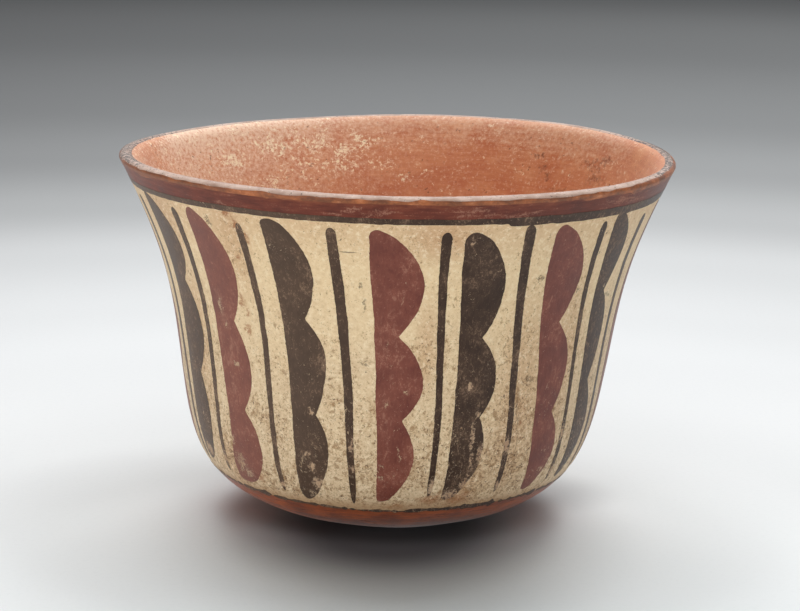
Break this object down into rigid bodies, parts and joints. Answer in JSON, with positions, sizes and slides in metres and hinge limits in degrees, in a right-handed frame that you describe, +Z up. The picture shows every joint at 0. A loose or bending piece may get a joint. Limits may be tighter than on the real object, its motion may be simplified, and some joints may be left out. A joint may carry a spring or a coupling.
{
  "type": "painted pottery bowl",
  "caption": "Hand-built pottery bowl with a round base, steep wall and flaring mouth, painted outside with scalloped figures and thin stripes between rim and base lines.",
  "frame": {"origin": "centre of the mouth seen from above, on the plane that the bowl rests on", "axes": "+Z up out of the mouth, -Y towards the side that the picture shows, +X to the right from there"},
  "size_m": [0.165, 0.165, 0.1109],
  "materials": {
    "bare_clay": "bare fired clay, pale grey-brown, matt, worn on the lip's crest and the resting flat",
    "orange_slip": "orange-red slip, burnished to a soft sheen, rubbed and stained",
    "cream_slip": "warm cream slip, satin, speckled and pitted",
    "dark_red_slip": "dark red slip, burnished satin",
    "black_slip": "brown-black slip, satin, lightly scratched"
  },
  "bodies": {
    "root": {"clay_body": "bare_clay", "inside_slip": "orange_slip", "base_slip": "orange_slip", "cream_ground": "cream_slip", "dark_red_rim_band": "dark_red_slip", "lip_slip": "orange_slip", "black_base_line": "black_slip", "black_rim_line": "black_slip", "black_figure_1": "black_slip", "black_stripe_1": "black_slip", "red_figure_1": "dark_red_slip", "black_stripe_2": "black_slip", "black_figure_2": "black_slip", "black_stripe_3": "black_slip", "red_figure_2": "dark_red_slip", "black_stripe_4": "black_slip", "black_figure_3": "black_slip", "black_stripe_5": "black_slip", "red_figure_3": "dark_red_slip", "black_stripe_6": "black_slip", "black_figure_4": "black_slip", "black_stripe_7": "black_slip", "red_figure_4": "dark_red_slip", "black_stripe_8": "black_slip", "black_figure_5": "black_slip", "black_stripe_9": "black_slip", "red_figure_5": "dark_red_slip", "black_stripe_10": "black_slip", "black_figure_6": "black_slip", "black_stripe_11": "black_slip", "red_figure_6": "dark_red_slip", "black_stripe_12": "black_slip", "black_figure_7": "black_slip", "black_stripe_13": "black_slip", "red_figure_7": "dark_red_slip", "black_stripe_14": "black_slip", "black_figure_8": "black_slip", "black_stripe_15": "black_slip", "red_figure_8": "dark_red_slip", "black_stripe_16": "black_slip", "black_figure_9": "black_slip", "black_stripe_17": "black_slip", "red_figure_9": "dark_red_slip", "black_stripe_18": "black_slip"}
  },
  "joints": []
}
